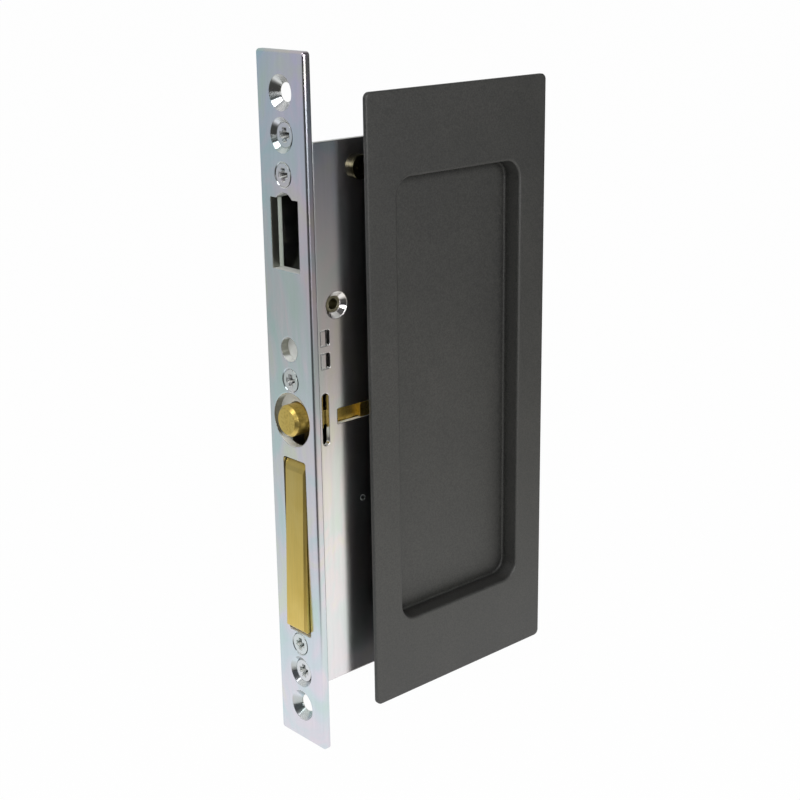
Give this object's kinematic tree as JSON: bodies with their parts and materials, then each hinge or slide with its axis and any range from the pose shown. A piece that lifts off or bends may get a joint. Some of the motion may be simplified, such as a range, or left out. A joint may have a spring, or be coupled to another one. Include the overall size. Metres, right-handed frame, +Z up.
{
  "type": "pocket door lock",
  "caption": "Mortise lock for a sliding pocket door: steel faceplate and case, swinging hook bolt, push button, swing-out edge pull and a dark flush pull with a finger recess.",
  "frame": {"origin": "middle of the faceplate's back face, on the plane that seats on the door edge", "axes": "+X into the door, -Y the face with the flush pull, +Z up"},
  "size_m": [0.0896, 0.0249, 0.2032],
  "materials": {
    "zinc_steel": "bright zinc plate",
    "screw_steel": "zinc plate",
    "hard_steel": "plain steel",
    "spring_steel": "drawn wire",
    "brass": "satin",
    "dark_bronze": "matte patina"
  },
  "bodies": {
    "case": {"faceplate": "zinc_steel", "case_body": "zinc_steel", "case_cover": "zinc_steel", "front_tie": "zinc_steel", "clamp_screws": "screw_steel", "face_screws": "screw_steel", "hook_pivot": "screw_steel", "detent_spring": "spring_steel", "detent_block": "hard_steel", "spring_seat": "hard_steel", "button_spring": "spring_steel", "pull_pivot_pin": "hard_steel", "cover_screw": "screw_steel", "flat_cover_screws": "screw_steel", "cover_posts": "screw_steel", "flush_pull": "dark_bronze", "pull_screws": "screw_steel"},
    "hook": {"hook_bolt": "hard_steel", "hook_pin": "hard_steel"},
    "hub": {"turn_hub": "brass", "hub_pin": "hard_steel"},
    "link": {"hook_link": "hard_steel"},
    "button": {"push_button": "brass", "button_slide": "brass", "slide_guide": "brass"},
    "pull": {"edge_pull": "brass"}
  },
  "joints": [
    {"name": "button_press", "type": "slide", "parent": "case", "child": "button", "axis": [1, 0, 0], "range_m": [0, 0.005], "stiffness_N_per_m": 400, "springref_m": -0.002, "deforming": ["button_spring"]},
    {"name": "edge_pull_swing", "type": "hinge", "parent": "case", "child": "pull", "pos_m": [0.01636, 0, -0.0267], "axis": [0, 1, 0], "range_deg": [0, 15.51]},
    {"name": "hub_turn", "type": "hinge", "parent": "case", "child": "hub", "pos_m": [0.04334, 0, 0.03239], "axis": [0, -1, 0], "range_deg": [0, 60]},
    {"name": "hook_swing", "type": "hinge", "parent": "case", "child": "hook", "pos_m": [0.00834, 0, 0.03239], "axis": [0, -1, 0], "range_deg": [0, 60]},
    {"name": "link_swing", "type": "hinge", "parent": "hub", "child": "link", "pos_m": [0.05112, 0, 0.04017], "axis": [0, -1, 0], "range_deg": [-60, 0]}
  ],
  "couplings": [
    {"joint": "edge_pull_swing", "follows": "button_press", "rad_per_m": 54.135},
    {"joint": "hook_swing", "follows": "hub_turn", "ratio": 1},
    {"joint": "link_swing", "follows": "hub_turn", "ratio": -1}
  ]
}
